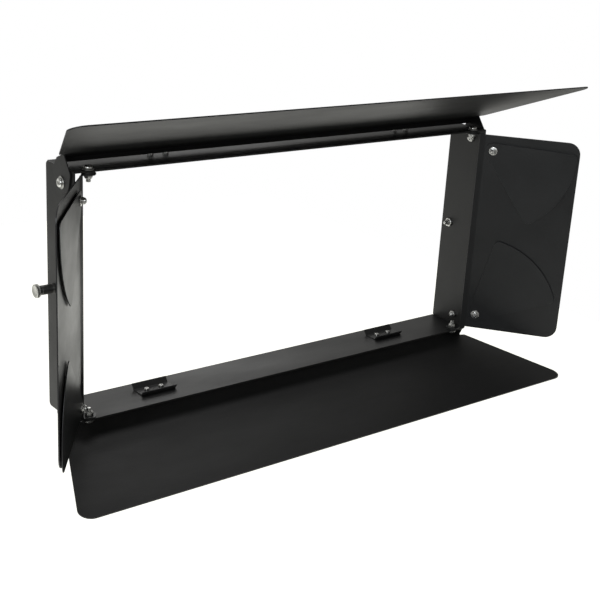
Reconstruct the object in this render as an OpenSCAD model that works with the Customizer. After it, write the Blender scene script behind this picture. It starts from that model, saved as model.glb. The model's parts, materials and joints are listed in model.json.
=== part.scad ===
// Four-leaf barndoor set for a 2 x 1 LED panel light.
// Origin: centre of the rear seat, +X right, +Z up, the open front faces -Y.

/* [Frame] */
// Outer width of the frame
frame_w = 680; // [640:1:720]
// Outer height of the frame
frame_h = 316; // [300:1:340]
// Depth of the frame, rear seat to front edge
frame_d = 70; // [68:1:74]
// Sheet thickness of the frame
frame_t = 2; // [1.5:0.1:2.2]

/* [Leaves] */
// Sheet thickness of the leaves
leaf_t = 1.5; // [1:0.1:1.6]
// Length of the top and bottom leaves from their pivot line
wide_leaf_len = 181; // [150:1:200]
// Width of the top and bottom leaves at the front edge
wide_leaf_front = 828; // [780:2:840]
// Width of the top and bottom leaves beside the frame
wide_leaf_rear = 700; // [696:2:704]
// Opening of the top leaf above straight ahead, degrees
top_open = 23; // [0:1:25]
// Opening of the bottom leaf below straight ahead, degrees
bottom_open = 9.5; // [0:0.5:25]
// Length of the side leaves from their pivot line
side_leaf_len = 159; // [140:1:170]
// Height of the side leaves
side_leaf_h = 304; // [290:2:304]
// Opening of the side leaves beyond straight ahead, degrees
side_open = 37.5; // [0:0.5:47]

/* [Fans] */
// Blade radius about its screw
fan_r = 123; // [100:1:124]
// Included angle of a blade, degrees
fan_span = 64; // [50:1:66]
// Turn of the two top blades outward from stowed, degrees
top_fan_turn = 0; // [-20:1:30]
// Turn of the left bottom blade outward from stowed, degrees
left_bottom_fan_turn = 10; // [-20:1:20]
// Turn of the right bottom blade outward from stowed, degrees
right_bottom_fan_turn = -20; // [-20:1:20]

/* [Hardware] */
// Diameter of the hinge screws
screw_d = 6; // [5:0.5:6]
// Diameter of the locking pins that enter the lamp
pin_d = 5; // [4:0.5:6]
// How far the locking pins stand inside the walls
pin_reach = 11.5; // [9:0.5:13]
// Travel of the locking pins
pin_travel = 7.5; // [5:0.5:8]

/* [Hidden] */
$fn = 48;

wall_x = frame_w / 2;
rail_z = frame_h / 2;
corner_r = 5;
powder = [0.14, 0.14, 0.15];
inner_powder = [0.2, 0.2, 0.21];
zinc = [0.78, 0.78, 0.77];
nylon = [0.1, 0.1, 0.1];
// Clearance of a pin in its hole, and of a turning sheet between its washers
fit = 0.06;

// Pivot line of the top and bottom leaves: depth, and height above the centre
arm_y = -45;
arm_z = 141;
// Inner face of the wide leaves, from the pivot line
wide_plane = 28.5;
// Start of the narrow part beside the frame, along the leaf
notch_s = 22;
// Gap between ear and wall, filled by the friction washer
ear_gap = 1.2;
ear_x = wall_x + ear_gap;
flange_half = ear_x + leaf_t;
wide_corner_r = 15;
bend_r = 2.5;

// Pivot line of the side leaves
side_x = 318;
side_y = -63.5;
// Inner face of the side leaves, from the pivot line
side_plane = 6.6;
side_bend_s = 19.5;
side_flange_len = 8.4;
side_flange_turn = 16;
side_bend_r = 8;
side_corner_r = 18;
tab_r = 9;
tab_z = side_leaf_h / 2 + 0.5;
spacer_t = rail_z - frame_t - tab_z - leaf_t;

// Fan screws on the side leaves
fan_screw_s = 33;
fan_screw_z = 129;
fan_screw_d = 5;
fan_t = 1.2;
fan_gap = 1.8;
fan_hub_r = 11.5;
// Angle of a stowed blade's outer edge above the leaf's length
fan_stow = 3;

// Locking plungers in the side walls, measured outward from the wall's outer face
plunger_y = -16;
plunger_z = 2.5;
shank_d = pin_d + 0.6;
thread_d = 9;
barrel_d = 12;
barrel_in = -7;
chamber_d = 6.9;
collar_d = 6.7;
collar_t = 2;
// Length of the fully pressed spring, with its end gaps
spring_solid = 7;
barrel_out = collar_t + pin_travel + spring_solid;
cap_t = 1.5;
stem_d = 3.6;
knob_d = 17;
knob_z = barrel_out + cap_t + 0.6;
knob_end = 25;

clip_x = 203;
clip_w = 52;
clip_y = -28;
clip_screw_pitch = 22;

function unit(v) = v / norm(v);
function flip(list) = [for (i = [len(list) - 1 : -1 : 0]) list[i]];

// Points of the arc that rounds corner b between a and c with radius r
function fillet(a, b, c, r, steps = 8) =
    r <= 0 ? [b] :
    let (
        ua = unit(a - b),
        uc = unit(c - b),
        half = acos(ua * uc) / 2,
        centre = b + unit(ua + uc) * r / sin(half),
        from = b + ua * r / tan(half) - centre,
        to = b + uc * r / tan(half) - centre,
        a0 = atan2(from.y, from.x),
        raw = atan2(to.y, to.x) - a0,
        sweep = raw > 180 ? raw - 360 : raw < -180 ? raw + 360 : raw
    )
    [for (i = [0 : steps]) centre + r * [cos(a0 + sweep * i / steps), sin(a0 + sweep * i / steps)]];

// Closed outline from corners [x, y, radius]
function rounded(p) =
    let (n = len(p))
    [for (i = [0 : n - 1])
        let (a = p[(i + n - 1) % n], b = p[i], c = p[(i + 1) % n])
        each fillet([a.x, a.y], [b.x, b.y], [c.x, c.y], b.z)];

// Open path moved sideways by t, mitred at its corners
function shifted(p, t) =
    let (n = len(p))
    [for (i = [0 : n - 1])
        let (
            into = i == 0 ? unit(p[1] - p[0]) : unit(p[i] - p[i - 1]),
            out = i == n - 1 ? into : unit(p[i + 1] - p[i]),
            side = unit([-into.y - out.y, into.x + out.x])
        )
        p[i] + side * t / (side * [-into.y, into.x])];

// Cross-section of a folded sheet that follows the path p
function folded(p, t, r) =
    let (
        n = len(p),
        radius = [for (i = [0 : n - 1]) i == 0 || i == n - 1 ? 0 : r],
        near = [for (i = [0 : n - 1]) [p[i].x, p[i].y, radius[i]]],
        far_path = shifted(p, t),
        far = [for (i = [0 : n - 1]) [far_path[i].x, far_path[i].y, radius[i]]]
    )
    rounded(concat(near, flip(far)));

module washer(d_out, d_in, t) {
    difference() {
        cylinder(d = d_out, h = t);
        translate([0, 0, -1]) cylinder(d = d_in, h = t + 2);
    }
}

module hex_nut(across, bore, t) {
    difference() {
        intersection() {
            cylinder(d = across / cos(30), h = t, $fn = 6);
            cylinder(d = across * 1.11, h = t, $fn = 48);
        }
        translate([0, 0, -1]) cylinder(d = bore, h = t + 2);
    }
}

// Button-head screw along +Z, the underside of its head at z = 0
module button_screw(d, length, head_d, head_h) {
    difference() {
        rotate_extrude()
            polygon(rounded([[0, -length, 0], [d / 2, -length, 0.6], [d / 2, 0, 0],
                [head_d / 2, 0, 0], [head_d / 2, head_h * 0.35, 0.4], [head_d * 0.3, head_h, 0.8],
                [0, head_h, 0]]));
        translate([0, 0, head_h * 0.45]) cylinder(d = d * 0.62 / cos(30), h = head_h, $fn = 6);
    }
}

module at_left_and_right() {
    children();
    mirror([1, 0, 0]) children();
}

module at_top_and_bottom() {
    children();
    mirror([0, 0, 1]) children();
}

module at_four_corners() {
    at_left_and_right() at_top_and_bottom() children();
}

// Places children at each wide-leaf pivot on a wall's outer face, +Z pointing outward
module on_arm_axis() {
    at_four_corners() translate([wall_x, arm_y, arm_z]) rotate([0, 90, 0]) children();
}

// Places children on a side-leaf pivot, z = 0 at the middle of the frame
module on_side_axis() {
    at_four_corners() translate([side_x, side_y, 0]) children();
}

module on_plunger_axis() {
    translate([wall_x, plunger_y, plunger_z]) rotate([0, 90, 0]) children();
}

// ---------- frame ----------

module rail() {
    difference() {
        translate([-wall_x + frame_t, -frame_d, rail_z - frame_t])
            cube([frame_w - 2 * frame_t, frame_d, frame_t]);
        for (sx = [-1, 1]) {
            translate([sx * side_x, side_y, rail_z - frame_t - 1])
                cylinder(d = screw_d + 2 * fit, h = frame_t + 2);
            for (dx = [-0.5, 0.5])
                translate([sx * clip_x + dx * clip_screw_pitch, clip_y, rail_z - frame_t - 1])
                    cylinder(d = 4.2, h = frame_t + 2);
        }
    }
}

module top_rail() {
    color(powder) rail();
}

module bottom_rail() {
    color(inner_powder) mirror([0, 0, 1]) rail();
}

module wall() {
    difference() {
        translate([wall_x - frame_t, 0, 0])
            rotate([90, 0, 90])
                linear_extrude(frame_t)
                    polygon(rounded([[-frame_d, -rail_z, 2], [0, -rail_z, corner_r],
                        [0, rail_z, corner_r], [-frame_d, rail_z, 2]]));
        for (sz = [-1, 1])
            translate([wall_x - frame_t - 1, arm_y, sz * arm_z])
                rotate([0, 90, 0]) cylinder(d = screw_d + 2 * fit, h = frame_t + 2);
        on_plunger_axis() translate([0, 0, -frame_t - 1]) cylinder(d = thread_d + 2 * fit, h = frame_t + 2);
    }
}

module left_wall() {
    color(inner_powder) mirror([1, 0, 0]) wall();
}

module right_wall() {
    color(inner_powder) wall();
}

// Spring clip on the rail's inner face: base, fold and a raised tongue
clip_base = 24;
clip_rise = 7;
clip_path = [
    [-clip_base / 2 - 4, 5], [-clip_base / 2, 0], [clip_base / 2 - 4, 0], [clip_base / 2 + 2, clip_rise]
];

module clip() {
    difference() {
        translate([-clip_w / 2, 0, 0])
            rotate([90, 0, 90]) linear_extrude(clip_w) polygon(folded(clip_path, 1.2, 1));
        for (dx = [-0.5, 0.5])
            translate([dx * clip_screw_pitch, 0, -1]) cylinder(d = 4.2, h = 4);
    }
}

module on_clips() {
    at_four_corners() translate([clip_x, clip_y, -rail_z + frame_t]) children();
}

module retaining_clips() {
    color(powder) on_clips() clip();
}

module clip_screws() {
    color(zinc) on_clips()
        for (dx = [-0.5, 0.5])
            translate([dx * clip_screw_pitch, 0, 1.2]) button_screw(4, 8, 7.5, 2.2);
}

module clip_nuts() {
    color(zinc) on_clips()
        for (dx = [-0.5, 0.5])
            translate([dx * clip_screw_pitch, 0, -frame_t - 3]) hex_nut(7, 4, 3);
}

// ---------- hinge hardware ----------

arm_stack = ear_gap + leaf_t + fit;
arm_washer_t = 1.2;

module arm_screws() {
    color(zinc) on_arm_axis()
        translate([0, 0, arm_stack + arm_washer_t]) button_screw(screw_d, 14, 11.5, 3.6);
}

module arm_outer_washers() {
    color(zinc) on_arm_axis() translate([0, 0, arm_stack]) washer(15, screw_d, arm_washer_t);
}

module arm_friction_washers() {
    color(nylon) on_arm_axis() washer(16, screw_d, ear_gap - fit);
}

module arm_locknuts() {
    color(zinc) on_arm_axis()
        translate([0, 0, -frame_t - 5.2]) hex_nut(10, screw_d, 5.2);
}

spring_washer_t = 1.6;

module pivot_bolts() {
    color(zinc) on_side_axis()
        translate([0, 0, rail_z + spring_washer_t]) button_screw(screw_d, 16.5, 11, 3.8);
}

module pivot_spring_washers() {
    color(zinc) on_side_axis() translate([0, 0, rail_z]) washer(14, screw_d, spring_washer_t);
}

module pivot_spacers() {
    color(nylon) on_side_axis() translate([0, 0, tab_z + leaf_t]) washer(15, screw_d, spacer_t);
}

module pivot_nuts() {
    color(zinc) on_side_axis() translate([0, 0, tab_z - 5.2]) hex_nut(10, screw_d, 5.2);
}

// ---------- top and bottom leaves ----------

// Section along the leaf (s) and away from the pivot line (h), with its rear return
wide_path = [[wide_leaf_len, wide_plane], [2, wide_plane], [-3, wide_plane - 5]];
wide_outline = [
    [-10, -flange_half, 0], [notch_s - 2, -flange_half, 2], [notch_s, -wide_leaf_rear / 2, 2],
    [wide_leaf_len, -wide_leaf_front / 2, wide_corner_r],
    [wide_leaf_len, wide_leaf_front / 2, wide_corner_r],
    [notch_s, wide_leaf_rear / 2, 2], [notch_s - 2, flange_half, 2], [-10, flange_half, 0]
];
ear_outline = [
    [notch_s - 4, wide_plane + leaf_t, 0], [notch_s + 2.5, 4, 7], [12, -13, 12], [-13, -13, 12],
    [-16, 21, 6], [0, wide_plane + leaf_t, 0]
];

// The leaf straight ahead: s runs to -Y, h to +Z, its pivot line on the X axis
module wide_leaf_flat() {
    difference() {
        union() {
            intersection() {
                rotate([90, 0, 270]) translate([0, 0, -wide_leaf_front / 2])
                    linear_extrude(wide_leaf_front)
                        polygon(folded(flip(wide_path), leaf_t, bend_r));
                translate([0, 0, -20]) rotate([0, 0, -90])
                    linear_extrude(80) polygon(rounded(wide_outline));
            }
            at_left_and_right() translate([-ear_x, 0, 0])
                rotate([90, 0, 270]) linear_extrude(leaf_t) polygon(rounded(ear_outline));
        }
        at_left_and_right() translate([-ear_x - leaf_t - 1, 0, 0])
            rotate([0, 90, 0]) cylinder(d = screw_d + 2 * fit, h = leaf_t + 2);
    }
}

module wide_leaf(open) {
    translate([0, arm_y, arm_z]) rotate([-open, 0, 0]) wide_leaf_flat();
}

module top_leaf() {
    color(powder) wide_leaf(top_open);
}

module bottom_leaf() {
    color(powder) mirror([0, 0, 1]) wide_leaf(bottom_open);
}

// ---------- side leaves and their fans ----------

flange_end = [side_bend_s - side_flange_len * cos(side_flange_turn),
    side_plane - side_flange_len * sin(side_flange_turn)];
side_path = [[side_leaf_len, side_plane], [side_bend_s, side_plane], flange_end];
side_outline = [
    [side_leaf_len, -side_leaf_h / 2, side_corner_r], [side_leaf_len, side_leaf_h / 2, side_corner_r],
    [side_bend_s - 1.5, side_leaf_h / 2, 0], [side_bend_s - 3, tab_z + leaf_t, 0],
    [-20, tab_z + leaf_t, 0], [-20, -tab_z - leaf_t, 0],
    [side_bend_s - 3, -tab_z - leaf_t, 0], [side_bend_s - 1.5, -side_leaf_h / 2, 0]
];

// Point on the side leaf's flange: t along it from the bend, out through its thickness
function on_flange(t, out) =
    [side_bend_s - t * cos(side_flange_turn) - out * sin(side_flange_turn),
        side_plane - t * sin(side_flange_turn) + out * cos(side_flange_turn)];

// Distance along the flange, from the bend, at which the hinge tab leaves it
tab_join = 4;
tab_on_flange = [on_flange(side_flange_len - 0.6, 0.5), on_flange(tab_join, 0.5), on_flange(tab_join, 1)];
tab_outline = [
    [-tab_r, -tab_r, tab_r * 0.9], [tab_r, -tab_r, tab_r * 0.9],
    each [for (p = tab_on_flange) [p.x, p.y, 0]],
    [-tab_r, tab_r, tab_r * 0.8]
];

// The leaf straight ahead: s runs to -Y, h to +X, its pivot line on the Z axis
module side_leaf_flat() {
    difference() {
        union() {
            intersection() {
                translate([0, 0, -frame_h / 2]) rotate([0, 0, -90])
                    linear_extrude(frame_h) polygon(folded(flip(side_path), leaf_t, side_bend_r));
                rotate([90, 0, 270]) translate([0, 0, -60])
                    linear_extrude(100) polygon(rounded(side_outline));
            }
            at_top_and_bottom() translate([0, 0, tab_z])
                rotate([0, 0, -90]) linear_extrude(leaf_t) polygon(rounded(tab_outline));
        }
        at_top_and_bottom() translate([0, 0, tab_z - 1])
            cylinder(d = screw_d + 2 * fit, h = leaf_t + 2);
        at_top_and_bottom() on_fan_screw() translate([0, 0, -3]) cylinder(d = fan_screw_d, h = 8);
    }
}

// Fan screw's axis on the straight-ahead side leaf, +Z pointing inward from its inner face
module on_fan_screw() {
    translate([side_plane, -fan_screw_s, fan_screw_z]) rotate([0, -90, 0]) children();
}

module side_leaf_pose(side) {
    mirror([side < 0 ? 1 : 0, 0, 0])
        translate([side_x, side_y, 0]) rotate([0, 0, side_open]) children();
}

module left_leaf() {
    color(inner_powder) side_leaf_pose(-1) side_leaf_flat();
}

module right_leaf() {
    color(inner_powder) side_leaf_pose(1) side_leaf_flat();
}

fan_stack = fan_gap + fan_t + fit;
fan_nut_t = 5;
fan_flange_t = 1.2;
fan_screw_end = fan_stack + fan_flange_t + fan_nut_t + 0.8;

// Fan screw: low head behind the leaf, plain shank, chamfered end
module fan_screw() {
    rotate_extrude()
        polygon(rounded([[0, -leaf_t - 1.8, 0], [3.6, -leaf_t - 1.8, 1], [4.6, -leaf_t, 0],
            [fan_screw_d / 2, -leaf_t, 0], [fan_screw_d / 2, fan_screw_end - 0.6, 0],
            [fan_screw_d / 2 - 0.6, fan_screw_end, 0], [0, fan_screw_end, 0]]));
}

// Lock nut with a round flange that holds the blade
module fan_nut() {
    translate([0, 0, fan_stack]) washer(12.6, fan_screw_d, fan_flange_t);
    translate([0, 0, fan_stack + fan_flange_t]) hex_nut(8.5, fan_screw_d, fan_nut_t);
}

module fan_screws(side) {
    color(zinc) side_leaf_pose(side) at_top_and_bottom() on_fan_screw() fan_screw();
}

module fan_nuts(side) {
    color(zinc) side_leaf_pose(side) at_top_and_bottom() on_fan_screw() fan_nut();
}

module fan_washers(side) {
    color(nylon) side_leaf_pose(side) at_top_and_bottom() on_fan_screw()
        washer(13, fan_screw_d, fan_gap - fit);
}

module left_fan_screws() {
    fan_screws(-1);
}

module right_fan_screws() {
    fan_screws(1);
}

module left_fan_nuts() {
    fan_nuts(-1);
}

module right_fan_nuts() {
    fan_nuts(1);
}

module left_fan_washers() {
    fan_washers(-1);
}

module right_fan_washers() {
    fan_washers(1);
}

// Point of a blade about its screw: angle a is measured outward from the leaf's length
function blade_at(r, a) = [r * sin(a), -r * cos(a)];
fan_edge_a = fan_stow;
fan_edge_b = fan_stow - fan_span;
fan_margin = 5;
fan_arc_steps = 16;
fan_hub_steps = 10;
fan_blade = concat(
    [for (i = [0 : fan_hub_steps])
        blade_at(fan_hub_r, fan_edge_b - 90 - i * (180 - fan_span) / fan_hub_steps)],
    fillet(blade_at(fan_hub_r, fan_edge_a + 90), blade_at(fan_r + 1, fan_edge_a),
        blade_at(fan_r, fan_edge_a - fan_margin), 8),
    [for (i = [0 : fan_arc_steps])
        blade_at(fan_r, fan_edge_a - fan_margin - i * (fan_span - 2 * fan_margin) / fan_arc_steps)],
    fillet(blade_at(fan_r, fan_edge_b + fan_margin), blade_at(fan_r + 1, fan_edge_b),
        blade_at(fan_hub_r, fan_edge_b - 90), 8)
);

module fan(side, turn) {
    color(inner_powder) side_leaf_pose(side) on_fan_screw()
        translate([0, 0, fan_gap]) rotate([0, 0, turn])
        difference() {
            linear_extrude(fan_t) polygon(fan_blade);
            translate([0, 0, -1]) cylinder(d = fan_screw_d + 2 * fit, h = fan_t + 2);
        }
}

module left_top_fan() {
    fan(-1, top_fan_turn);
}

module right_top_fan() {
    fan(1, top_fan_turn);
}

module left_bottom_fan() {
    mirror([0, 0, 1]) fan(-1, left_bottom_fan_turn);
}

module right_bottom_fan() {
    mirror([0, 0, 1]) fan(1, right_bottom_fan_turn);
}

// ---------- locking plungers ----------

module plunger_barrels() {
    color(zinc) at_left_and_right() on_plunger_axis()
        difference() {
            union() {
                translate([0, 0, barrel_in]) cylinder(d = thread_d, h = -barrel_in);
                cylinder(d = barrel_d, h = barrel_out);
            }
            translate([0, 0, barrel_in - 1]) cylinder(d = shank_d + 2 * fit, h = 10);
            cylinder(d = chamber_d, h = barrel_out + 1);
        }
}

module plunger_caps() {
    color(zinc) at_left_and_right() on_plunger_axis() translate([0, 0, barrel_out])
        washer(barrel_d, stem_d + 2 * fit, cap_t);
}

module plunger_nuts() {
    color(zinc) at_left_and_right() on_plunger_axis() translate([0, 0, -frame_t - 3.5])
        hex_nut(12, thread_d, 3.5);
}

// Compression spring around the stem: a coil swept with a round section
spring_turns = 5;
spring_r = 2.65;
spring_wire = 0.5;
spring_from = collar_t + 0.6;
spring_to = barrel_out - 0.6;
spring_rings = 60;
spring_sides = 8;
spring_points = [
    for (i = [0 : spring_rings], k = [0 : spring_sides - 1])
        let (a = i * 360 * spring_turns / spring_rings, b = k * 360 / spring_sides,
            r = spring_r + spring_wire * cos(b))
        [r * cos(a), r * sin(a),
            spring_from + (spring_to - spring_from) * i / spring_rings + spring_wire * sin(b)]
];
function spring_at(i, k) = i * spring_sides + k % spring_sides;
spring_faces = concat(
    [[for (k = [spring_sides - 1 : -1 : 0]) spring_at(0, k)]],
    [for (i = [0 : spring_rings - 1], k = [0 : spring_sides - 1])
        [spring_at(i, k), spring_at(i, k + 1), spring_at(i + 1, k + 1), spring_at(i + 1, k)]],
    [[for (k = [0 : spring_sides - 1]) spring_at(spring_rings, k)]]
);

module plunger_spring() {
    on_plunger_axis() polyhedron(spring_points, spring_faces);
}

module left_plunger_spring() {
    color(zinc) mirror([1, 0, 0]) plunger_spring();
}

module right_plunger_spring() {
    color(zinc) plunger_spring();
}

// Locking pin: nose, shank in the barrel, collar and stem, in one turned piece
module plunger_pin() {
    tip = -frame_t - pin_reach;
    shoulder = barrel_in + 0.4;
    on_plunger_axis() rotate_extrude()
        polygon([[0, tip], [pin_d / 2 - 1, tip], [pin_d / 2, tip + 1], [pin_d / 2, shoulder - 0.3],
            [shank_d / 2, shoulder], [shank_d / 2, 0], [collar_d / 2, 0], [collar_d / 2, collar_t],
            [stem_d / 2, collar_t], [stem_d / 2, knob_end - 2], [0, knob_end - 2]]);
}

module left_plunger_pin() {
    color(zinc) mirror([1, 0, 0]) plunger_pin();
}

module right_plunger_pin() {
    color(zinc) plunger_pin();
}

module plunger_knob() {
    on_plunger_axis() difference() {
        rotate_extrude()
            polygon(rounded([[0, knob_z, 0], [4.6, knob_z, 0.4], [5, knob_z + 1.2, 0.5],
                [knob_d / 2, knob_z + 1.8, 0.8], [knob_d / 2, knob_end, 1], [0, knob_end, 0]]));
        translate([0, 0, knob_z - 1]) cylinder(d = stem_d, h = knob_end - 2 - knob_z + 1);
    }
}

module left_plunger_knob() {
    color(zinc) mirror([1, 0, 0]) plunger_knob();
}

module right_plunger_knob() {
    color(zinc) plunger_knob();
}

top_rail();
bottom_rail();
left_wall();
right_wall();
retaining_clips();
clip_screws();
clip_nuts();
arm_screws();
arm_outer_washers();
arm_friction_washers();
arm_locknuts();
pivot_bolts();
pivot_spring_washers();
pivot_spacers();
pivot_nuts();
top_leaf();
bottom_leaf();
left_leaf();
right_leaf();
left_fan_screws();
right_fan_screws();
left_fan_nuts();
right_fan_nuts();
left_fan_washers();
right_fan_washers();
left_top_fan();
left_bottom_fan();
right_top_fan();
right_bottom_fan();
plunger_barrels();
plunger_caps();
plunger_nuts();
left_plunger_spring();
right_plunger_spring();
left_plunger_pin();
right_plunger_pin();
left_plunger_knob();
right_plunger_knob();
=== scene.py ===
"""Folding barndoor set for an LED panel light: detail, materials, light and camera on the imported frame."""

import json
import math

import bmesh
import bpy
from mathutils import Matrix, Vector, noise


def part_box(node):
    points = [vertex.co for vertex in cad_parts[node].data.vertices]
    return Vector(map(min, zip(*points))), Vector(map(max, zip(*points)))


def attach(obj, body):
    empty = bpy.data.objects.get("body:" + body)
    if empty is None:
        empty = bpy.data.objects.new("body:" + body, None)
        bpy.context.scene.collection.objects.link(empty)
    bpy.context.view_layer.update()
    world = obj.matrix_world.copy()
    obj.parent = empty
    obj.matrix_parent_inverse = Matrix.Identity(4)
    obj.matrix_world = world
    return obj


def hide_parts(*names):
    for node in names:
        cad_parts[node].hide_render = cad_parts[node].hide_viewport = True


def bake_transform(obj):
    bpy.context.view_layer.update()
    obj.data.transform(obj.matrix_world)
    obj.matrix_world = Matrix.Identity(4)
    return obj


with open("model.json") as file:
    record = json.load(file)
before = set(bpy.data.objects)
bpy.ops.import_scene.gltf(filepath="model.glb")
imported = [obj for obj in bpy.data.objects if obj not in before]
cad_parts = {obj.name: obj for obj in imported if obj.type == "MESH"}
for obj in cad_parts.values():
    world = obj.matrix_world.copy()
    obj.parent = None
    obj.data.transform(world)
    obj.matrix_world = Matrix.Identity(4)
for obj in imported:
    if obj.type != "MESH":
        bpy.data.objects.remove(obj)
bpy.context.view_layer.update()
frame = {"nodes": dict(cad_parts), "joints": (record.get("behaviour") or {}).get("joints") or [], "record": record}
NODES = frame["nodes"]
JOINTS = {joint["name"]: joint for joint in frame["joints"]}
MM = 0.001


# ---------- sizes, in millimetres ----------

# Fasteners: thread diameters, then widths across flats, outer diameters and thicknesses
M6, M5, M4 = 6, 5, 4
M6_WASHER_BORE = 6.2
M6_NUT_ACROSS = 10
ARM_WASHER = 15
PIVOT_HEAD = 11
PIVOT_WASHER = 14
PIVOT_WASHER_THICK = 0.7
SPLIT_WASHER = 11.4
SPLIT_WASHER_RISE = 0.3
FAN_NUT_ACROSS = 8.5
FAN_NUT_FLANGE = 12.6
CLIP_HEAD = 7.4
CLIP_HEAD_HEIGHT = 2.2
CLIP_NUT_ACROSS = 7

# Plungers: the sleeve's thread diameter and its nut, then radii
SLEEVE_THREAD = 9
SLEEVE_NUT_ACROSS = 12
SLEEVE_RADIUS = 6.0
SHANK = 2.8
SHANK_BORE = 2.86
SPRING_ROOM = 3.45
STEM = 1.8
STEM_BORE = 1.86
SPRING_WIRE = 0.5

# Sheets: the rounding of their cut edges, and how near two corners are to be one corner
FRAME_EDGE = 0.35
LEAF_EDGE = 0.3
THIN_EDGE = 0.25
SAME_CORNER = 0.01

# Sheets, in degrees: faces that turn by less than the first are one flat,
# and those that turn by more than the second meet in a cut edge
FLAT_ANGLE = 0.5
CUT_ANGLE = 50


# ---------- material helpers ----------


class Tree:
    """A material's node tree with short calls to add and link nodes."""

    def __init__(self, name):
        self.material = bpy.data.materials.new(name)
        self.material.use_nodes = True
        self.nodes = self.material.node_tree.nodes
        self.links = self.material.node_tree.links
        self.shader = self.nodes["Principled BSDF"]
        self.place = self.nodes.new("ShaderNodeTexCoord").outputs["Object"]

    def link(self, source, target):
        self.links.new(source, target)

    def noise(self, scale, detail=3.0, rough=0.55, stretch=None, offset=0.0):
        """Noise value in object space; scale is in cycles per metre."""
        mapping = self.nodes.new("ShaderNodeMapping")
        mapping.inputs["Scale"].default_value = stretch or (1.0, 1.0, 1.0)
        mapping.inputs["Location"].default_value = (offset, offset * 0.7, offset * 1.3)
        self.link(self.place, mapping.inputs["Vector"])
        texture = self.nodes.new("ShaderNodeTexNoise")
        texture.inputs["Scale"].default_value = scale
        texture.inputs["Detail"].default_value = detail
        texture.inputs["Roughness"].default_value = rough
        self.link(mapping.outputs["Vector"], texture.inputs["Vector"])
        return texture.outputs["Fac"]

    def span(self, value, low, high, start=0.3, end=0.7):
        """value between start and end, mapped to low and high."""
        node = self.nodes.new("ShaderNodeMapRange")
        node.inputs["From Min"].default_value = start
        node.inputs["From Max"].default_value = end
        node.inputs["To Min"].default_value = low
        node.inputs["To Max"].default_value = high
        self.link(value, node.inputs["Value"])
        return node.outputs["Result"]

    def times(self, a, b):
        node = self.nodes.new("ShaderNodeMath")
        node.operation = "MULTIPLY"
        self.link(a, node.inputs[0])
        self.link(b, node.inputs[1])
        return node.outputs["Value"]

    def mix(self, factor, a, b):
        """Colour between a and b; each is a socket or an RGB triple."""
        node = self.nodes.new("ShaderNodeMix")
        node.data_type = "RGBA"
        self.link(factor, node.inputs["Factor"])
        for name, value in (("A", a), ("B", b)):
            socket = [s for s in node.inputs if s.name == name and s.type == "RGBA"][0]
            if isinstance(value, tuple):
                socket.default_value = (*value, 1.0)
            else:
                self.link(value, socket)
        return [s for s in node.outputs if s.type == "RGBA"][0]

    def bump(self, height, strength, distance, below=None):
        node = self.nodes.new("ShaderNodeBump")
        node.inputs["Strength"].default_value = strength
        node.inputs["Distance"].default_value = distance
        self.link(height, node.inputs["Height"])
        if below is not None:
            self.link(below, node.inputs["Normal"])
        return node.outputs["Normal"]

    def edge_wear_and_highlight(self, radius):
        """About 1 within radius of a sharp edge and 0 elsewhere."""
        rounded = self.nodes.new("ShaderNodeBevel")
        rounded.samples = 4
        rounded.inputs["Radius"].default_value = radius
        flat = self.nodes.new("ShaderNodeNewGeometry")
        dot = self.nodes.new("ShaderNodeVectorMath")
        dot.operation = "DOT_PRODUCT"
        self.link(rounded.outputs["Normal"], dot.inputs[0])
        self.link(flat.outputs["Normal"], dot.inputs[1])
        return self.span(dot.outputs["Value"], 1.0, 0.0, 0.82, 0.985)


# Colour of the cut edges: rubbed coat, lightened to paint in the highlight along the edges
RUBBED_EDGE_AND_HIGHLIGHT = (0.075, 0.075, 0.078)


def powder_coat(name, dark, light, gloss, grain=1.0, offset=0.0, ior=1.5):
    """Satin powder coat: fine orange peel, faint mottling and specks, uneven gloss, and lighter edges that are
    rubbed coat and a painted edge highlight.
    """
    t = Tree(name)
    mottle = t.noise(9.0, 4.0, 0.6, offset=offset)
    speck = t.noise(900.0, 2.0, 0.5, offset=offset)
    base = t.mix(t.span(mottle, 0.0, 1.0), dark, light)
    base = t.mix(t.span(speck, 0.0, 0.35, 0.55, 0.75), base, tuple(min(1.0, c * 2.2) for c in light))
    # lighter cut edges broken up by noise: rubbed coat and a painted edge highlight
    worn_and_highlit = t.times(t.edge_wear_and_highlight(0.0006), t.span(t.noise(60.0, 3.0), 0.15, 0.8))
    base = t.mix(worn_and_highlit, base, RUBBED_EDGE_AND_HIGHLIGHT)
    t.link(base, t.shader.inputs["Base Color"])
    smear = t.noise(14.0, 5.0, 0.65, stretch=(0.35, 1.0, 1.0), offset=offset + 3.0)
    t.link(t.span(smear, gloss - 0.05, gloss + 0.07), t.shader.inputs["Roughness"])
    peel = t.bump(t.noise(420.0 * grain, 3.0, 0.5), 0.16, 0.0003)
    wave = t.bump(t.noise(5.0, 2.0, 0.4, offset=offset), 0.10, 0.004, peel)
    t.link(wave, t.shader.inputs["Normal"])
    t.shader.inputs["IOR"].default_value = ior
    return t.material


def bright_metal(name, dark, light, gloss, grain):
    """Plated, blackened or bare metal: cloudy tint, uneven polish and fine pitting."""
    t = Tree(name)
    cloud = t.noise(160.0, 4.0, 0.6)
    t.link(t.mix(t.span(cloud, 0.0, 1.0), dark, light), t.shader.inputs["Base Color"])
    t.shader.inputs["Metallic"].default_value = 1.0
    t.link(t.span(t.noise(420.0, 3.0), gloss, gloss + 0.16), t.shader.inputs["Roughness"])
    t.link(t.bump(t.noise(grain, 2.0, 0.5), 0.12, 0.00008), t.shader.inputs["Normal"])
    return t.material


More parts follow.
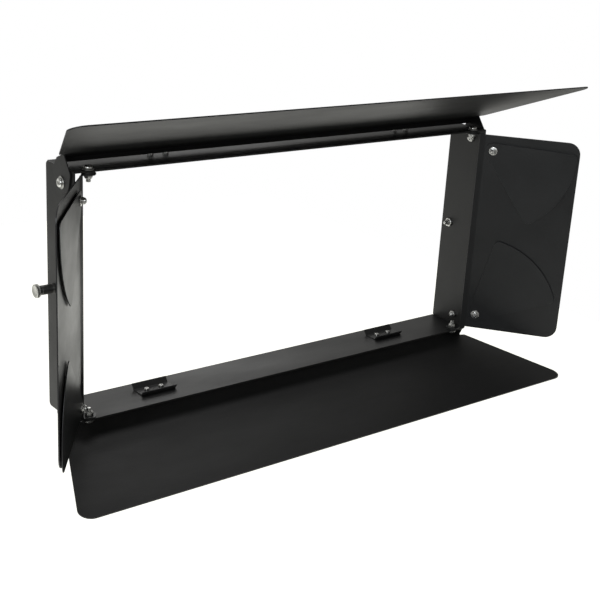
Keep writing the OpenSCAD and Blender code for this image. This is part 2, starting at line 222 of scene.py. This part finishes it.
def moulded(name, dark, light):
    """Moulded nylon: dull, with fine texture."""
    t = Tree(name)
    t.link(t.mix(t.span(t.noise(120.0, 3.0), 0.0, 1.0), dark, light), t.shader.inputs["Base Color"])
    t.link(t.span(t.noise(300.0, 2.0), 0.42, 0.6), t.shader.inputs["Roughness"])
    t.link(t.bump(t.noise(1500.0, 2.0), 0.15, 0.0001), t.shader.inputs["Normal"])
    return t.material


def studio_floor():
    """Pale paper with a light of its own, so that it stays near white."""
    t = Tree("floor_paper")
    t.link(t.mix(t.span(t.noise(3.0, 3.0), 0.0, 1.0), (0.90, 0.90, 0.895), (0.93, 0.93, 0.925)),
           t.shader.inputs["Base Color"])
    t.link(t.span(t.noise(8.0), 0.75, 0.85), t.shader.inputs["Roughness"])
    t.shader.inputs["Specular IOR Level"].default_value = 0.1
    t.shader.inputs["Emission Color"].default_value = (1.0, 1.0, 0.93, 1.0)
    t.shader.inputs["Emission Strength"].default_value = 0.86
    return t.material


WALL = powder_coat("frame_powder_walls", (0.010, 0.010, 0.0098), (0.014, 0.014, 0.0136), 0.46, ior=1.46)
RAIL = powder_coat("frame_powder_rails", (0.009, 0.009, 0.009), (0.013, 0.013, 0.0128), 0.42, offset=2.0)
LIP = powder_coat("frame_powder_top_rail", (0.009, 0.009, 0.009), (0.013, 0.013, 0.0128), 0.54, ior=1.4)
WIDE = powder_coat("leaf_powder_wide", (0.009, 0.009, 0.009), (0.013, 0.013, 0.013), 0.49, offset=5.0)
# The side leaves and fans wear the wide leaves' black coat, painted lighter to stand in for the light their faces
# reflect
SIDE_COAT_PAINTED_LIGHTER = powder_coat("leaf_powder_side_painted_lighter", (0.012, 0.0126, 0.0132), (0.017, 0.0178, 0.0187), 0.34, offset=7.0)
FAN_COAT_PAINTED_LIGHTER = powder_coat("leaf_powder_fan_painted_lighter", (0.013, 0.0137, 0.0144), (0.018, 0.019, 0.020), 0.34, offset=9.0)
CLIP = powder_coat("frame_powder_clip", (0.024, 0.024, 0.024), (0.034, 0.034, 0.034), 0.40, grain=2.0)
ZINC = bright_metal("zinc_plate", (0.55, 0.55, 0.53), (0.80, 0.80, 0.775), 0.2, 2600.0)
ZINC_DULL = bright_metal("zinc_plate_dull", (0.34, 0.34, 0.33), (0.52, 0.52, 0.50), 0.34, 1800.0)
KNOB = bright_metal("knob_nickel", (0.46, 0.46, 0.435), (0.64, 0.64, 0.61), 0.3, 2400.0)
SLEEVE = bright_metal("sleeve_blackened", (0.15, 0.15, 0.145), (0.25, 0.25, 0.242), 0.3, 1800.0)
SPRING = bright_metal("spring_steel", (0.30, 0.30, 0.31), (0.48, 0.48, 0.49), 0.28, 2200.0)
NYLON = moulded("nylon_black", (0.018, 0.018, 0.018), (0.03, 0.03, 0.03))
INSERT = moulded("nylon_insert", (0.05, 0.055, 0.07), (0.09, 0.10, 0.13))


# ---------- mesh helpers ----------


# Material slots of a piece with a plastic insert
METAL_SLOT, NYLON_SLOT = 0, 1
SHARP_ANGLE = 32.0
STEPS_PER_PITCH = 6


class Shape:
    """Vertices and faces collected from turned and swept forms, in millimetres."""

    def __init__(self):
        self.points = []
        self.faces = []
        self.kinds = []

    def turned(self, rings, place, sides=48, closed=False, kind=METAL_SLOT):
        """Surface of revolution about place's Z axis through rings of (z, radius).

        A radius is a number or a function of the angle. An open profile is capped at both ends.
        """
        first = len(self.points)
        for z, radius in rings:
            for k in range(sides):
                a = 2 * math.pi * k / sides
                r = radius(a) if callable(radius) else radius
                self.points.append(place @ Vector((r * math.cos(a), r * math.sin(a), z)))
        count = len(rings)
        for i in range(count if closed else count - 1):
            j = (i + 1) % count
            for k in range(sides):
                m = (k + 1) % sides
                self.add((first + i * sides + k, first + i * sides + m,
                          first + j * sides + m, first + j * sides + k), kind)
        if not closed:
            self.add(tuple(first + k for k in reversed(range(sides))), kind)
            self.add(tuple(first + (count - 1) * sides + k for k in range(sides)), kind)

    def add(self, face, kind=METAL_SLOT):
        self.faces.append(face)
        self.kinds.append(kind)

    def ribbon(self, sections, place):
        """Closed solid through cross-sections of equal length, capped at both ends."""
        first = len(self.points)
        size = len(sections[0])
        for section in sections:
            self.points += [place @ point for point in section]
        for i in range(len(sections) - 1):
            for k in range(size):
                m = (k + 1) % size
                self.add((first + i * size + k, first + i * size + m,
                          first + (i + 1) * size + m, first + (i + 1) * size + k))
        self.add(tuple(first + k for k in reversed(range(size))))
        self.add(tuple(first + (len(sections) - 1) * size + k for k in range(size)))

    def build(self, name, materials):
        mesh = bpy.data.meshes.new(name)
        mesh.from_pydata([p * MM for p in self.points], [], self.faces)
        for polygon, kind in zip(mesh.polygons, self.kinds):
            polygon.material_index = kind
            polygon.use_smooth = True
        for material in materials:
            mesh.materials.append(material)
        work = bmesh.new()
        work.from_mesh(mesh)
        bmesh.ops.recalc_face_normals(work, faces=work.faces)
        work.to_mesh(mesh)
        work.free()
        mesh.set_sharp_from_angle(angle=math.radians(SHARP_ANGLE))
        piece = bpy.data.objects.new(name, mesh)
        bpy.context.scene.collection.objects.link(piece)
        return piece


def install(shape, name, materials, node, body):
    """Builds shape as the piece that stands for a CAD node."""
    piece = shape.build(name, materials)
    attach(piece, body)
    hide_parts(node)
    return piece


def hexagon(across, limit):
    """Radius of a hexagon of that width across flats, cut back to limit at its corners."""
    def radius(angle):
        turn = (angle + math.pi / 6) % (math.pi / 3) - math.pi / 6
        return min(across / 2 / math.cos(turn), limit)
    return radius


def thread(start, end, diameter, pitch, depth):
    """Rings of a helical thread from z start to z end, fading out at both ends."""
    steps = max(4, int(abs(end - start) / pitch * STEPS_PER_PITCH))
    rings = []
    for i in range(steps + 1):
        z = start + (end - start) * i / steps
        fade = min(1.0, 2.0 * min(i, steps - i) / STEPS_PER_PITCH + 0.15)

        def radius(angle, z=z, fade=fade):
            phase = (z / pitch - angle / (2 * math.pi)) % 1.0
            return diameter / 2 - depth * fade * (1 - abs(2 * phase - 1))

        rings.append((z, radius))
    return rings


def frame_at(origin, direction):
    """Placement at origin, in millimetres, whose Z axis points along direction."""
    turn = Vector((0, 0, 1)).rotation_difference(Vector(direction).normalized())
    return Matrix.Translation(Vector(origin)) @ turn.to_matrix().to_4x4()


def span_of(node, axis):
    """Smallest and largest distance from the middle plane that a mirrored node reaches, in millimetres."""
    values = [abs(v.co[axis]) for v in NODES[node].data.vertices]
    return min(values) / MM, max(values) / MM


def reach(node, place):
    """Smallest and largest height of a node along place's Z axis, in millimetres."""
    inverse = place.inverted()
    heights = [(inverse @ (v.co / MM)).z for v in NODES[node].data.vertices]
    return min(heights), max(heights)


def islands(node):
    """(lowest, highest) corner of each loose piece of a CAD node, in millimetres, in a fixed order."""
    work = bmesh.new()
    work.from_mesh(NODES[node].data)
    bmesh.ops.remove_doubles(work, verts=work.verts, dist=1e-6)
    left, found = set(work.verts), []
    while left:
        stack, group = [left.pop()], []
        while stack:
            vertex = stack.pop()
            group.append(vertex.co.copy())
            for edge in vertex.link_edges:
                other = edge.other_vert(vertex)
                if other in left:
                    left.remove(other)
                    stack.append(other)
        low = Vector([min(c[i] for c in group) / MM for i in range(3)])
        high = Vector([max(c[i] for c in group) / MM for i in range(3)])
        found.append((low, high))
    work.free()
    return sorted(found, key=lambda box: tuple(round(c, 2) for c in box[0] + box[1]))


def socket_head(shape, place, size, head, height, length):
    """Button-head socket screw: domed head above z = 0, shank below with a rolled thread."""
    key = size * 0.62
    rings = [(-length, size * 0.34), (-length + 0.7, size / 2 - 0.1)]
    rings += thread(-length + 0.8, -length + min(length - 1.5, 7.5), size, size / 6, size * 0.06)
    rings += [(-0.5, size / 2 - 0.05), (0, size / 2), (0, head / 2 - 0.3), (0.25, head / 2),
              (height * 0.3, head / 2)]
    for i in range(1, 7):
        a = math.radians(90 * i / 7)
        inset = (head / 2 - key * 0.72) * (1 - math.cos(a))
        rings.append((height * (0.3 + 0.68 * math.sin(a)), head / 2 - inset))
    rings += [(height, key * 0.68), (height - 0.25, hexagon(key, key * 0.577)),
              (height * 0.42, hexagon(key, key * 0.577)), (height * 0.3, key * 0.1)]
    shape.turned(rings, place, 60)


def pan_head(shape, place, size, head, height, length):
    """Cross-recess pan-head screw: head above z = 0, threaded shank below."""
    recess, half_slot = 1.9, 0.36

    def cross(angle):
        turn = (angle + math.pi / 4) % (math.pi / 2) - math.pi / 4
        return min(recess, half_slot / max(abs(math.sin(turn)), 0.05))

    rings = [(-length, size * 0.3), (-length + 0.5, size / 2 - 0.1)]
    rings += thread(-length + 0.6, -0.8, size, 0.7, 0.26)
    rings += [(0, size / 2), (0, head / 2 - 0.3), (0.25, head / 2), (height * 0.45, head / 2)]
    for i in range(1, 6):
        a = math.radians(90 * i / 6)
        inset = (head / 2 - 2.1) * (1 - math.cos(a))
        rings.append((height * (0.45 + 0.53 * math.sin(a)), head / 2 - inset))
    rings += [(height, 2.0), (height - 0.1, cross), (height - 1.2, lambda a: cross(a) * 0.6),
              (height - 1.35, 0.1)]
    shape.turned(rings, place, 96)


def lock_nut(shape, place, across, bore, thick, flange=0.0):
    """Hexagon lock nut from z = 0 up, with chamfered corners, a crimped collar and a nylon ring."""
    hexed = hexagon(across, across * 0.555)
    top = thick * 0.74
    start = [(0, bore / 2), (0, across * 0.48), (0.35, hexed)]
    if flange:
        start = [(0, bore / 2), (0, flange / 2 - 0.25), (0.25, flange / 2), (0.9, flange / 2),
                 (1.25, flange / 2 - 0.35), (1.5, hexed)]
    rings = start + [(top - 0.7, hexed), (top, across * 0.485), (top + 0.12, across * 0.44),
                     (thick - 0.5, across * 0.435), (thick - 0.12, across * 0.40), (thick, across * 0.36),
                     (thick, bore / 2 + 0.55), (thick - 0.45, bore / 2 + 0.5), (thick - 0.5, bore / 2)]
    shape.turned(rings, place, 60, closed=True)
    ring = [(thick - 0.44, bore / 2 + 0.02), (thick - 0.44, bore / 2 + 0.48),
            (thick - 0.14, bore / 2 + 0.5), (thick - 0.1, bore / 2 + 0.1)]
    shape.turned(ring, place, 48, closed=True, kind=NYLON_SLOT)


def plain_nut(shape, place, across, bore, thick):
    """Hexagon nut from z = 0 up, with chamfered corners."""
    hexed = hexagon(across, across * 0.555)
    rings = [(0, bore / 2), (0, across * 0.47), (0.35, hexed), (thick - 0.35, hexed),
             (thick, across * 0.47), (thick, bore / 2 + 0.35), (thick - 0.3, bore / 2)]
    shape.turned(rings, place, 60, closed=True)


def flat_washer(shape, place, outer, inner, thick):
    """Plain washer from z = 0 up, with broken edges."""
    edge = min(0.22, thick * 0.2)
    rings = [(0, inner / 2), (0, outer / 2 - edge), (edge, outer / 2), (thick - edge, outer / 2),
             (thick, outer / 2 - edge), (thick, inner / 2 + edge), (thick - edge, inner / 2)]
    shape.turned(rings, place, 64, closed=True)


def split_washer(shape, place, outer, inner, thick):
    """Spring washer: a flat-sided ring, cut and set with a small rise from end to end."""
    high = thick - SPLIT_WASHER_RISE
    edge = 0.15
    steps, cut_angle = 48, 16
    near, far = inner / 2, outer / 2
    outline = [(near, edge), (near + edge, 0), (far - edge, 0), (far, edge),
               (far, high - edge), (far - edge, high), (near + edge, high), (near, high - edge)]
    sections = []
    for i in range(steps + 1):
        a = math.radians(cut_angle / 2 + (360 - cut_angle) * i / steps)
        lift = SPLIT_WASHER_RISE * i / steps
        sections.append([Vector((r * math.cos(a), r * math.sin(a), z + lift)) for r, z in outline])
    shape.ribbon(sections, place)


# ---------- places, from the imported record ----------

ARM = Vector(JOINTS["top_leaf_hinge"]["pos_m"]) / MM
SIDE_PIVOT = Vector(JOINTS["right_leaf_hinge"]["pos_m"]) / MM
PLUNGER = [Vector(m["pos_m"]) / MM for m in frame["record"]["mounts"] if m["name"] == "right_lock_pin"][0]
CORNERS = [(sx, sz) for sx in (-1, 1) for sz in (-1, 1)]


def arm_place(sx, sz, distance):
    """On a wide leaf's pivot line, at that distance from the middle plane, Z pointing outward."""
    return frame_at((sx * distance, ARM.y, sz * ARM.z), (sx, 0, 0))


def side_place(sx, sz, height):
    """On a side leaf's pivot line, at that height from the middle plane, Z pointing away from it."""
    return frame_at((sx * SIDE_PIVOT.x, SIDE_PIVOT.y, sz * height), (0, 0, sz))


def fan_place(joint):
    """At a fan's pivot on the leaf's inner face, Z pointing inward."""
    at = Vector(joint["pos_m"]) / MM
    axis = Vector(joint["axis"])
    return frame_at(at, axis if axis.x * at.x < 0 else -axis)


# ---------- hardware ----------


def make_arm_hardware():
    """Screws, washers and lock nuts of the wide leaves' ears."""
    low, high = span_of("arm_screws", 0)
    inner, outer = span_of("arm_outer_washers", 0)
    head_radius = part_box("arm_screws")[1].y / MM - ARM.y
    screws = Shape()
    for sx, sz in CORNERS:
        socket_head(screws, arm_place(sx, sz, outer), M6, 2 * head_radius, high - outer, outer - low)
    install(screws, "arm_screw_set", [ZINC], "arm_screws", "frame")

    washers = Shape()
    for sx, sz in CORNERS:
        flat_washer(washers, arm_place(sx, sz, inner), ARM_WASHER, M6_WASHER_BORE, outer - inner)
    install(washers, "arm_washer_set", [ZINC], "arm_outer_washers", "frame")

    inner, outer = span_of("arm_locknuts", 0)
    nuts = Shape()
    for sx, sz in CORNERS:
        place = frame_at((sx * outer, ARM.y, sz * ARM.z), (-sx, 0, 0))
        lock_nut(nuts, place, M6_NUT_ACROSS, M6, outer - inner)
    install(nuts, "arm_locknut_set", [ZINC, INSERT], "arm_locknuts", "frame")


def make_side_hardware():
    """Bolts, washers and lock nuts of the side leaves' pivots."""
    low, high = span_of("pivot_bolts", 2)
    inner, outer = span_of("pivot_spring_washers", 2)
    bolts = Shape()
    for sx, sz in CORNERS:
        socket_head(bolts, side_place(sx, sz, outer), M6, PIVOT_HEAD, high - outer, outer - low)
    install(bolts, "pivot_bolt_set", [ZINC], "pivot_bolts", "frame")

    middle = inner + PIVOT_WASHER_THICK
    washers = Shape()
    for sx, sz in CORNERS:
        flat_washer(washers, side_place(sx, sz, inner), PIVOT_WASHER, M6_WASHER_BORE, PIVOT_WASHER_THICK)
        split_washer(washers, side_place(sx, sz, middle), SPLIT_WASHER, M6_WASHER_BORE, outer - middle)
    install(washers, "pivot_washer_set", [ZINC_DULL], "pivot_spring_washers", "frame")

    inner, outer = span_of("pivot_nuts", 2)
    nuts = Shape()
    for sx, sz in CORNERS:
        place = frame_at((sx * SIDE_PIVOT.x, SIDE_PIVOT.y, sz * outer), (0, 0, -sz))
        lock_nut(nuts, place, M6_NUT_ACROSS, M6, outer - inner)
    install(nuts, "pivot_nut_set", [ZINC, INSERT], "pivot_nuts", "frame")


def make_fan_hardware(side):
    """Low-head screws behind the leaf and flanged lock nuts in front of the blades."""
    screws, nuts = Shape(), Shape()
    for end in ("top", "bottom"):
        place = fan_place(JOINTS[f"{side}_{end}_fan_pivot"])
        seat, top = reach(f"{side}_fan_nuts", place)
        tip = reach(f"{side}_fan_screws", place)[1]
        socket = [(-2.0, 0.2), (-2.0, hexagon(3.0, 1.72)), (-3.0, hexagon(3.0, 1.72)), (-3.3, 2.0)]
        head = [(-3.3, 2.6), (-3.05, 3.3), (-2.4, 4.1), (-1.8, 4.55), (-1.52, 4.6), (-1.5, 2.5)]
        shank = [(seat + 0.7, 2.5)] + thread(seat + 1.1, tip - 0.55, M5, 0.8, 0.3)
        screws.turned(socket + head + shank + [(tip - 0.35, 2.25), (tip - 0.05, 1.8)], place, 60)
        under = place @ Matrix.Translation((0, 0, seat + 0.02))
        lock_nut(nuts, under, FAN_NUT_ACROSS, M5, top - seat - 0.05, flange=FAN_NUT_FLANGE)
    install(screws, f"{side}_fan_screw_set", [ZINC], f"{side}_fan_screws", f"{side}_leaf")
    install(nuts, f"{side}_fan_nut_set", [ZINC, INSERT], f"{side}_fan_nuts", f"{side}_leaf")


def make_clip_hardware():
    """Screws and nuts of the retaining clips, one for each solid of their CAD nodes."""
    screws, nuts = Shape(), Shape()
    for low, high in islands("clip_screws"):
        mid = (low + high) / 2
        sz = 1 if mid.z > 0 else -1
        # the head is on the side of the frame's middle plane
        head_z = low.z if sz > 0 else high.z
        length = high.z - low.z - CLIP_HEAD_HEIGHT
        place = frame_at((mid.x, mid.y, head_z + sz * CLIP_HEAD_HEIGHT), (0, 0, -sz))
        pan_head(screws, place, M4, CLIP_HEAD, CLIP_HEAD_HEIGHT, length)
    for low, high in islands("clip_nuts"):
        mid = (low + high) / 2
        sz = 1 if mid.z > 0 else -1
        place = frame_at((mid.x, mid.y, low.z if sz > 0 else high.z), (0, 0, sz))
        plain_nut(nuts, place, CLIP_NUT_ACROSS, M4, high.z - low.z)
    install(screws, "clip_screw_set", [ZINC], "clip_screws", "frame")
    install(nuts, "clip_nut_set", [ZINC], "clip_nuts", "frame")


def make_plungers():
    """Sleeves, caps, nuts, pins and turned pull knobs of the two locking plungers."""
    barrel_in, barrel_out = span_of("plunger_barrels", 0)
    wall_in, wall_out = span_of("right_wall", 0)
    cap_in, cap_out = span_of("plunger_caps", 0)
    nut_in, nut_out = span_of("plunger_nuts", 0)
    sleeves, caps, nuts = Shape(), Shape(), Shape()
    for sx in (-1, 1):
        place = frame_at((0, PLUNGER.y, PLUNGER.z), (sx, 0, 0))
        rings = [(barrel_in, SHANK_BORE), (barrel_in, 4.1)]
        rings += thread(barrel_in + 0.3, wall_in - 0.1, SLEEVE_THREAD, 1.0, 0.5)
        rings += [(wall_in + 0.2, SLEEVE_THREAD / 2), (wall_out, SLEEVE_THREAD / 2), (wall_out, 5.8),
                  (wall_out + 0.25, SLEEVE_RADIUS), (wall_out + 2.0, SLEEVE_RADIUS),
                  (wall_out + 2.3, 5.7), (wall_out + 2.9, 5.7), (wall_out + 3.2, SLEEVE_RADIUS),
                  (barrel_out - 0.3, SLEEVE_RADIUS), (barrel_out, 5.75),
                  (barrel_out, SPRING_ROOM), (wall_out, SPRING_ROOM), (wall_out, SHANK_BORE)]
        sleeves.turned(rings, place, closed=True)
        rings = [(cap_in, STEM_BORE), (cap_in, 5.75), (cap_in + 0.3, SLEEVE_RADIUS),
                 (cap_out - 0.35, SLEEVE_RADIUS), (cap_out, 5.6), (cap_out, 2.3),
                 (cap_out - 0.3, STEM_BORE)]
        caps.turned(rings, place, closed=True)
        nut = frame_at((sx * nut_out, PLUNGER.y, PLUNGER.z), (-sx, 0, 0))
        plain_nut(nuts, nut, SLEEVE_NUT_ACROSS, SLEEVE_THREAD, nut_out - nut_in)
    install(sleeves, "plunger_sleeve_set", [SLEEVE], "plunger_barrels", "frame")
    install(caps, "plunger_cap_set", [SLEEVE], "plunger_caps", "frame")
    install(nuts, "plunger_nut_set", [ZINC], "plunger_nuts", "frame")
    for side, sx in (("left", -1), ("right", 1)):
        make_knob(side, sx)
        make_pin(side, sx)
        make_spring(side, sx)


def make_knob(side, sx):
    """Pull knob: short neck, knurled rim between two bands, and a shallow dished face."""
    low, high = span_of(f"{side}_plunger_knob", 0)
    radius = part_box(f"{side}_plunger_knob")[1].z / MM - PLUNGER.z
    ridges, groove = 36, 0.28

    def knurl(angle):
        return radius - groove * (1 - abs(((angle * ridges / (2 * math.pi)) % 1.0) * 2 - 1))

    rings = [(high - 2.0, 0.3), (high - 2.0, 1.85), (low, 1.9), (low, 4.3), (low + 0.3, 4.6),
             (low + 1.0, 4.8), (low + 1.5, 5.6), (low + 1.9, radius - 0.5), (low + 2.2, radius),
             (low + 2.8, radius), (low + 2.95, knurl), (high - 1.2, knurl), (high - 1.05, radius),
             (high - 0.6, radius), (high - 0.12, radius - 0.5), (high, radius - 1.1),
             (high, radius - 2.2), (high - 0.35, radius - 3.0), (high - 0.4, 1.2), (high - 0.4, 0.3)]
    knob = Shape()
    knob.turned(rings, frame_at((0, PLUNGER.y, PLUNGER.z), (sx, 0, 0)), 144)
    install(knob, f"{side}_pull_knob", [KNOB], f"{side}_plunger_knob", f"{side}_plunger")


def make_pin(side, sx):
    """Locking pin: rounded nose, step into the shank, collar and stem."""
    low, high = span_of(f"{side}_plunger_pin", 0)
    wall_out = span_of("right_wall", 0)[1]
    rings = [(low, 0.5), (low, 1.3), (low + 0.25, 1.9), (low + 0.7, 2.3), (low + 1.3, 2.5),
             (wall_out - 7.0, 2.5), (wall_out - 6.6, SHANK), (wall_out, SHANK), (wall_out, 3.3),
             (wall_out + 0.2, 3.35), (wall_out + 1.8, 3.35), (wall_out + 2.0, 3.2),
             (wall_out + 2.0, STEM), (high, STEM)]
    pin = Shape()
    pin.turned(rings, frame_at((0, PLUNGER.y, PLUNGER.z), (sx, 0, 0)))
    install(pin, f"{side}_lock_pin", [ZINC], f"{side}_plunger_pin", f"{side}_plunger")


def make_spring(side, sx):
    """Coil between the pin's collar and the end cap, built at one length."""
    node = f"{side}_plunger_spring"
    low, high = span_of(node, 0)
    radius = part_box(node)[1].z / MM - PLUNGER.z - SPRING_WIRE
    turns, steps, sides = 6.5, 30, 10
    sections = []
    for i in range(int(turns * steps) + 1):
        along = i / (turns * steps)
        a = 2 * math.pi * turns * along
        # the turns lie closer together at both ends
        eased = along - 0.055 * math.sin(2 * math.pi * along)
        z = low + SPRING_WIRE + (high - low - 2 * SPRING_WIRE) * eased
        ring = []
        for k in range(sides):
            b = 2 * math.pi * k / sides
            r = radius + SPRING_WIRE * math.cos(b)
            ring.append(Vector((r * math.cos(a), r * math.sin(a), z + SPRING_WIRE * math.sin(b))))
        sections.append(ring)
    coil = Shape()
    coil.ribbon(sections, frame_at((0, PLUNGER.y, PLUNGER.z), (sx, 0, 0)))
    piece = coil.build(f"{side}_coil_spring", [SPRING])
    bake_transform(piece)
    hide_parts(node)


# ---------- sheet metal: CAD nodes with finished edges ----------


def finish_sheet(node, material, width):
    """Rounds a CAD sheet's cut edges, keeps its flats flat to the eye, and gives it its coat."""
    coat(node, material)
    piece = NODES[node]
    weld = piece.modifiers.new("weld", "WELD")
    weld.merge_threshold = SAME_CORNER * MM
    # a flat made of long thin triangles would show hairlines running out from its holes
    flats = piece.modifiers.new("flats", "DECIMATE")
    flats.decimate_type = "DISSOLVE"
    flats.angle_limit = math.radians(FLAT_ANGLE)
    bevel = piece.modifiers.new("edge", "BEVEL")
    bevel.width = width * MM
    bevel.segments = 2
    bevel.limit_method = "ANGLE"
    bevel.angle_limit = math.radians(CUT_ANGLE)
    shading = piece.modifiers.new("shading", "WEIGHTED_NORMAL")
    shading.weight = 100
    shading.keep_sharp = False
    piece.data.polygons.foreach_set("use_smooth", [True] * len(piece.data.polygons))


def coat(node, material):
    piece = NODES[node]
    piece.data.materials.clear()
    piece.data.materials.append(material)


def make_sheets():
    """Coats every sheet, and the nylon washers and spacers between the sheets."""
    for node in ("left_wall", "right_wall"):
        finish_sheet(node, WALL, FRAME_EDGE)
    finish_sheet("top_rail", LIP, FRAME_EDGE)
    finish_sheet("bottom_rail", RAIL, FRAME_EDGE)
    for node in ("top_leaf", "bottom_leaf"):
        finish_sheet(node, WIDE, LEAF_EDGE)
    for node in ("left_leaf", "right_leaf"):
        finish_sheet(node, SIDE_COAT_PAINTED_LIGHTER, LEAF_EDGE)
    for side in ("left", "right"):
        for end in ("top", "bottom"):
            finish_sheet(f"{side}_{end}_fan", FAN_COAT_PAINTED_LIGHTER, THIN_EDGE)
    finish_sheet("retaining_clips", CLIP, THIN_EDGE)
    for node in ("arm_friction_washers", "pivot_spacers", "left_fan_washers", "right_fan_washers"):
        coat(node, NYLON)


# ---------- studio ----------

# Camera, in degrees and millimetres: direction and roll, distance, and its move right and up
VIEW_AZIMUTH = 39.13
VIEW_ELEVATION = 19.05
VIEW_ROLL = 3.435
VIEW_DISTANCE = 1625.7
VIEW_RIGHT = 42.15
VIEW_UP = -70.7
FOCAL = 69.57
SENSOR = 36

# Floor, in metres: its middle, half its width, and its height
FLOOR_X, FLOOR_Y = 0.1, 0.65
FLOOR_HALF = 1.4
FLOOR_Z = -0.55

# Brightness of the surroundings: what the side behind the object adds, and what is there all around
BEHIND = 0.64
AROUND = 0.12


def add_camera():
    """Camera at the view's direction, aimed along it with no shift."""
    a, e, roll = (math.radians(v) for v in (VIEW_AZIMUTH, VIEW_ELEVATION, VIEW_ROLL))
    ahead = Vector((math.sin(a) * math.cos(e), math.cos(a) * math.cos(e), -math.sin(e)))
    right = ahead.cross(Vector((0, 0, 1))).normalized()
    up = right.cross(ahead)
    right, up = (right * math.cos(roll) + up * math.sin(roll), up * math.cos(roll) - right * math.sin(roll))
    data = bpy.data.cameras.new("camera")
    data.lens = FOCAL
    data.sensor_width = SENSOR
    data.clip_end = 50
    camera = bpy.data.objects.new("camera", data)
    axes = Matrix((right, up, -ahead)).transposed().to_4x4()
    place = (-ahead * VIEW_DISTANCE + right * VIEW_RIGHT + up * VIEW_UP) * MM
    camera.matrix_world = Matrix.Translation(place) @ axes
    bpy.context.scene.collection.objects.link(camera)
    bpy.context.scene.camera = camera


def add_softbox(name, place, aim, size, watts, colour=(1.0, 1.0, 1.0)):
    data = bpy.data.lights.new(name, "AREA")
    data.shape = "RECTANGLE"
    data.size, data.size_y = size
    data.energy = watts
    data.color = colour
    light = bpy.data.objects.new(name, data)
    light.location = place
    light.rotation_euler = (Vector(aim) - Vector(place)).to_track_quat("-Z", "Y").to_euler()
    bpy.context.scene.collection.objects.link(light)


def add_floor():
    """Pale sheet well below the object, gently uneven so that it is not a bare plane."""
    work = bmesh.new()
    bmesh.ops.create_grid(work, x_segments=60, y_segments=60, size=1.0)
    for vertex in work.verts:
        vertex.co.x = FLOOR_X + FLOOR_HALF * vertex.co.x
        vertex.co.y = FLOOR_Y + FLOOR_HALF * vertex.co.y
        vertex.co.z = FLOOR_Z + MM * noise.noise(vertex.co * 0.8)
    mesh = bpy.data.meshes.new("floor")
    work.to_mesh(mesh)
    work.free()
    mesh.materials.append(studio_floor())
    for polygon in mesh.polygons:
        polygon.use_smooth = True
    floor = bpy.data.objects.new("floor", mesh)
    bpy.context.scene.collection.objects.link(floor)


def add_surroundings():
    """White to the eye; what the object reflects is bright low down behind it and dim elsewhere."""
    world = bpy.data.worlds.new("studio")
    bpy.context.scene.world = world
    world.use_nodes = True
    nodes, links = world.node_tree.nodes, world.node_tree.links
    place = nodes.new("ShaderNodeTexCoord")
    parts = nodes.new("ShaderNodeSeparateXYZ")
    links.new(place.outputs["Generated"], parts.inputs["Vector"])

    def ramp(source, stops):
        node = nodes.new("ShaderNodeMapRange")
        node.interpolation_type = "SMOOTHSTEP"
        node.inputs["From Min"].default_value, node.inputs["From Max"].default_value = stops[:2]
        node.inputs["To Min"].default_value, node.inputs["To Max"].default_value = stops[2:]
        links.new(source, node.inputs["Value"])
        return node.outputs["Result"]

    def join(operation, a, b):
        node = nodes.new("ShaderNodeMath")
        node.operation = operation
        for socket, value in zip(node.inputs, (a, b)):
            if isinstance(value, float):
                socket.default_value = value
            else:
                links.new(value, socket)
        return node.outputs["Value"]

    low = ramp(parts.outputs["Z"], (0.28, 0.62, 1.0, 0.0))
    above = ramp(parts.outputs["Z"], (-0.25, 0.0, 0.25, 1.0))
    behind = ramp(parts.outputs["Y"], (-0.3, 0.45, 0.25, 1.0))
    leftward = ramp(parts.outputs["X"], (0.60, 0.76, 1.0, 0.10))
    bright = join("MULTIPLY", join("MULTIPLY", low, above), join("MULTIPLY", behind, leftward))
    dim = nodes["Background"]
    links.new(join("ADD", join("MULTIPLY", bright, BEHIND), AROUND), dim.inputs["Strength"])
    dim.inputs["Color"].default_value = (1.0, 0.995, 0.96, 1)
    white = nodes.new("ShaderNodeBackground")
    white.inputs["Strength"].default_value = 1.0
    white.inputs["Color"].default_value = (1, 1, 1, 1)
    path = nodes.new("ShaderNodeLightPath")
    both = nodes.new("ShaderNodeMixShader")
    links.new(path.outputs["Is Camera Ray"], both.inputs["Fac"])
    links.new(dim.outputs["Background"], both.inputs[1])
    links.new(white.outputs["Background"], both.inputs[2])
    links.new(both.outputs["Shader"], nodes["World Output"].inputs["Surface"])


def add_studio():
    add_surroundings()
    add_floor()
    add_softbox("overhead", (-0.3, 0.1, 2.6), (0, 0, 0), (2.6, 2.0), 12)
    add_softbox("back_right", (0.8, 1.3, 2.1), (0, 0, 0), (1.0, 1.0), 3.5)
    add_softbox("back_low", (1.2, 2.2, 0.9), (0, 0, 0), (0.9, 0.7), 2.5)
    add_softbox("front_left", (-2.2, -1.8, 1.1), (0, 0, 0), (1.1, 1.3), 21, (0.93, 0.965, 1.0))
    bpy.context.scene.view_settings.view_transform = "Standard"
    bpy.context.scene.view_settings.look = "None"


make_sheets()
make_arm_hardware()
make_side_hardware()
make_fan_hardware("left")
make_fan_hardware("right")
make_clip_hardware()
make_plungers()
add_camera()
add_studio()
